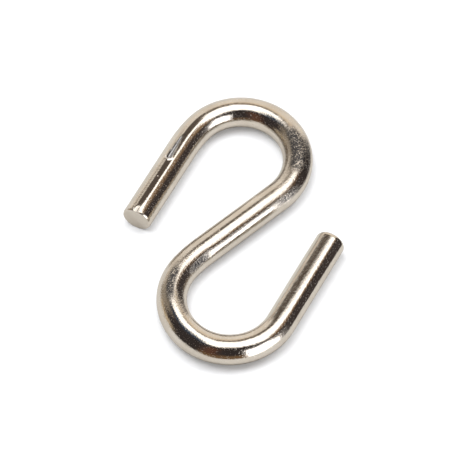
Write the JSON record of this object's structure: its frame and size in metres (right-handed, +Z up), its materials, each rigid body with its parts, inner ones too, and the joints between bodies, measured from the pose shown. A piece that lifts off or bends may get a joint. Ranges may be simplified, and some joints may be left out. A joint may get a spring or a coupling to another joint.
{
  "type": "s hook",
  "caption": "Round steel wire bent into a flat S with two open hooks and plated bright, which joins or hangs two things such as a chain and a ring.",
  "frame": {"origin": "middle of the hook's outline, on the surface that it lies on", "axes": "+Y along the load line from the lower bend to the upper bend, +X towards the right leg, +Z up, square to the flat of the hook"},
  "size_m": [0.0367, 0.0508, 0.005],
  "materials": {
    "nickel_plate": "bright nickel plate over drawn wire, with fine orange peel, a few pits and a scrape from the bending tool"
  },
  "bodies": {
    "root": {"s_hook": "nickel_plate"}
  },
  "joints": []
}
